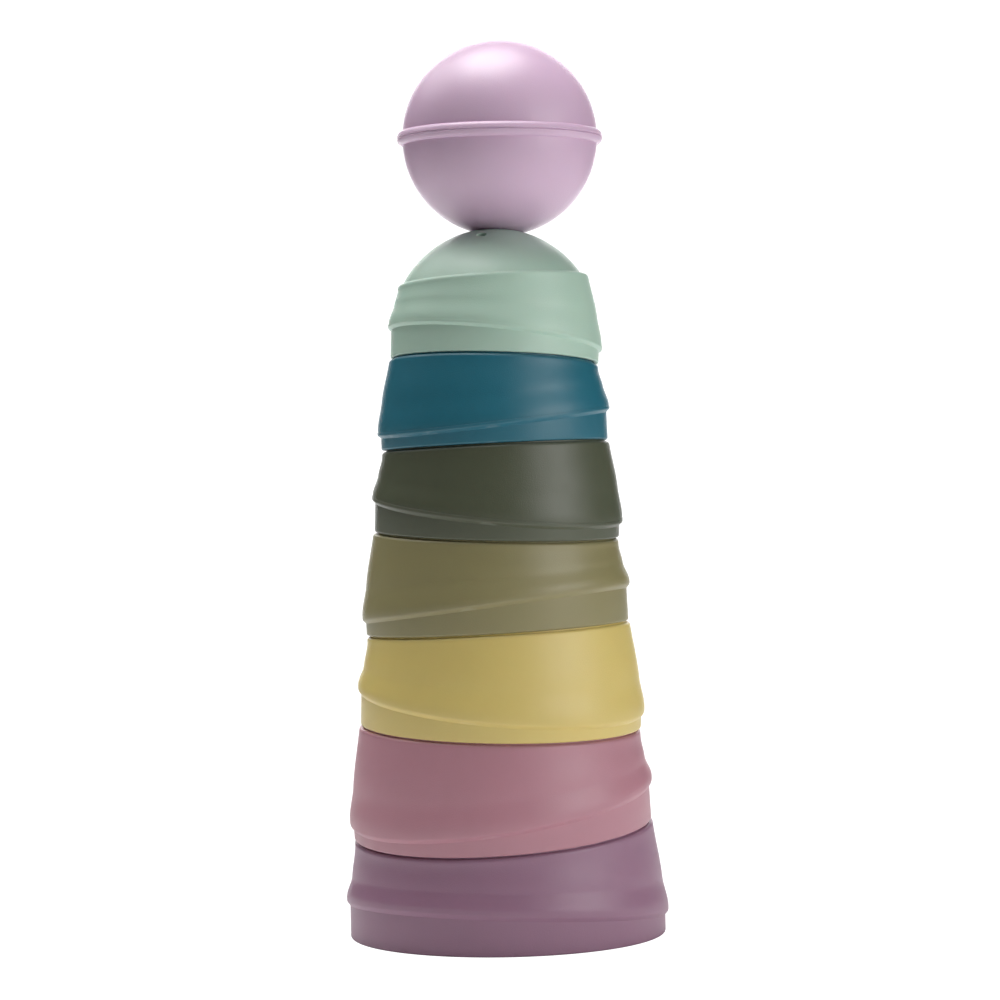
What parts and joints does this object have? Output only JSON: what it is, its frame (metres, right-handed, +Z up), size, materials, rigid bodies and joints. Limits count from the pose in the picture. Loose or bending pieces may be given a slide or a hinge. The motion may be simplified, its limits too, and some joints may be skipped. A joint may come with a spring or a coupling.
{
  "type": "stacking cup tower",
  "caption": "Leaning tower of nesting cups stacked upside down, each with a raised slanted ridge and a slanted top, and a two-part ball resting on the domed top cup.",
  "frame": {"origin": "on the floor, in the middle of the rim of the largest cup", "axes": "+Z up the tower, +X to the right and +Y to the back as the tower is seen from its front"},
  "size_m": [0.1022, 0.1022, 0.2833],
  "materials": {
    "mauve_plastic": "satin moulded polypropylene, fine grain",
    "rose_plastic": "satin moulded polypropylene, fine grain",
    "yellow_plastic": "satin moulded polypropylene, fine grain",
    "olive_plastic": "satin moulded polypropylene, fine grain",
    "dark_green_plastic": "satin moulded polypropylene, fine grain",
    "teal_plastic": "satin moulded polypropylene, fine grain",
    "mint_plastic": "satin moulded polypropylene, fine grain",
    "ball_plastic": "satin moulded polypropylene, a little smoother than the cups"
  },
  "bodies": {
    "mauve_cup": {"mauve_cup": "mauve_plastic"},
    "rose_cup": {"rose_cup": "rose_plastic"},
    "yellow_cup": {"yellow_cup": "yellow_plastic"},
    "olive_cup": {"olive_cup": "olive_plastic"},
    "dark_green_cup": {"dark_green_cup": "dark_green_plastic"},
    "teal_cup": {"teal_cup": "teal_plastic"},
    "mint_dome_cup": {"mint_dome_cup": "mint_plastic"},
    "ball": {"ball_lower_half": "ball_plastic", "ball_upper_half": "ball_plastic"}
  },
  "joints": [
    {"name": "rose_lift", "type": "slide", "parent": "mauve_cup", "child": "rose_cup", "axis": [-0.05, -0.0714, 0.9962], "range_m": [0, 0.04]},
    {"name": "yellow_lift", "type": "slide", "parent": "rose_cup", "child": "yellow_cup", "axis": [0.0314, -0.0401, 0.9987], "range_m": [0, 0.04]},
    {"name": "olive_lift", "type": "slide", "parent": "yellow_cup", "child": "olive_cup", "axis": [-0.0393, 0.011, 0.9992], "range_m": [0, 0.04]},
    {"name": "dark_green_lift", "type": "slide", "parent": "olive_cup", "child": "dark_green_cup", "axis": [0.0411, -0.0229, 0.9989], "range_m": [0, 0.04]},
    {"name": "teal_lift", "type": "slide", "parent": "dark_green_cup", "child": "teal_cup", "axis": [-0.0287, 0.0294, 0.9992], "range_m": [0, 0.04]},
    {"name": "mint_lift", "type": "slide", "parent": "teal_cup", "child": "mint_dome_cup", "axis": [0.0427, 0.0795, 0.9959], "range_m": [0, 0.04]},
    {"name": "ball_lift", "type": "slide", "parent": "mint_dome_cup", "child": "ball", "axis": [0.0427, 0.0795, 0.9959], "range_m": [0, 0.04]}
  ]
}
